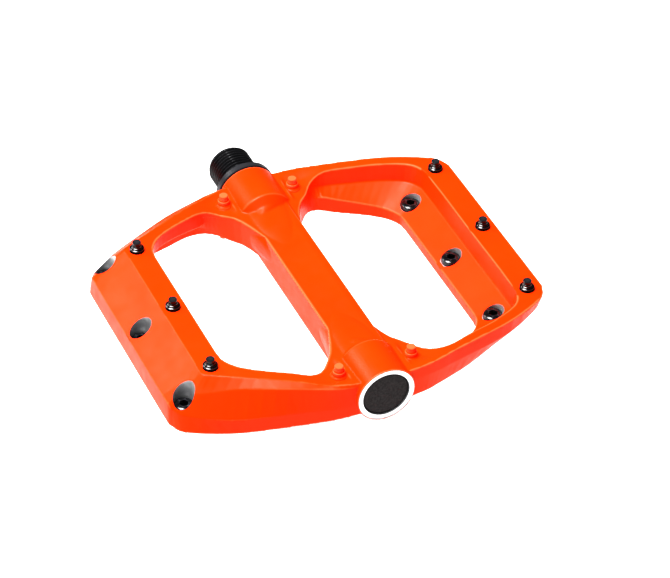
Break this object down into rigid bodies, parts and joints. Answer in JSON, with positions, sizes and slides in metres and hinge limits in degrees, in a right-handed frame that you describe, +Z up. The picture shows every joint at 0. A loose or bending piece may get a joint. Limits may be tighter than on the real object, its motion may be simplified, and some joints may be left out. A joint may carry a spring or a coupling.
{
  "type": "flat pedal",
  "caption": "Flat bicycle pedal: a thin forged platform with two windows and screw-in grip pins, spinning on a threaded axle.",
  "frame": {"origin": "centre of the axle's shoulder face, where the crank arm seats", "axes": "+Y along the axle out of its threaded end, +Z up through the upper grip face, +X towards the leading edge of the platform"},
  "size_m": [0.1224, 0.1222, 0.0216],
  "materials": {
    "platform_paint": "gloss orange paint on a forged aluminium body, bare machined metal in the pin pockets and on the outer ring",
    "axle_steel": "black oxide on turned steel",
    "pin_steel": "glossy black plating",
    "cap_plastic": "fine matte grain",
    "seal_rubber": "soft black rubber",
    "bushing_polymer": "dry-running bushing polymer",
    "bearing_steel": "ground and polished bearing steel",
    "cage_brass": "pressed metal cage",
    "shield_rubber": "moulded rubber over a thin plate",
    "nut_steel": "zinc-plated steel",
    "nut_nylon": "white nylon"
  },
  "bodies": {
    "platform": {"platform_body": "platform_paint", "axle_seal": "seal_rubber", "bushing": "bushing_polymer", "end_cap": "cap_plastic", "end_cap_ring": "seal_rubber", "inner_bearing_outer_ring": "bearing_steel", "inner_bearing_shields": "shield_rubber", "outer_bearing_outer_ring": "bearing_steel", "outer_bearing_shields": "shield_rubber", "grip_pin_top_inner_1": "pin_steel", "grip_pin_top_inner_2": "pin_steel", "grip_pin_top_inner_3": "pin_steel", "grip_pin_top_outer_1": "pin_steel", "grip_pin_top_outer_2": "pin_steel", "grip_pin_top_outer_3": "pin_steel", "grip_pin_bottom_inner_1": "pin_steel", "grip_pin_bottom_inner_2": "pin_steel", "grip_pin_bottom_inner_3": "pin_steel", "grip_pin_bottom_outer_1": "pin_steel", "grip_pin_bottom_outer_2": "pin_steel", "grip_pin_bottom_outer_3": "pin_steel"},
    "axle": {"axle": "axle_steel", "axle_washer": "nut_steel", "axle_nut": "nut_steel", "nut_locking_ring": "nut_nylon", "inner_bearing_inner_ring": "bearing_steel", "outer_bearing_inner_ring": "bearing_steel"},
    "inner_ball_set": {"inner_bearing_balls": "bearing_steel", "inner_bearing_cage": "cage_brass"},
    "outer_ball_set": {"outer_bearing_balls": "bearing_steel", "outer_bearing_cage": "cage_brass"}
  },
  "joints": [
    {"name": "axle_spin", "type": "hinge", "parent": "platform", "child": "axle", "pos_m": [0, 0, 0], "axis": [0, 1, 0], "continuous": true},
    {"name": "inner_ball_set_roll", "type": "hinge", "parent": "platform", "child": "inner_ball_set", "pos_m": [0, -0.0943, 0], "axis": [0, 1, 0], "continuous": true},
    {"name": "outer_ball_set_roll", "type": "hinge", "parent": "platform", "child": "outer_ball_set", "pos_m": [0, -0.0993, 0], "axis": [0, 1, 0], "continuous": true}
  ],
  "couplings": [
    {"joint": "inner_ball_set_roll", "follows": "axle_spin", "ratio": 0.374},
    {"joint": "outer_ball_set_roll", "follows": "axle_spin", "ratio": 0.374}
  ]
}
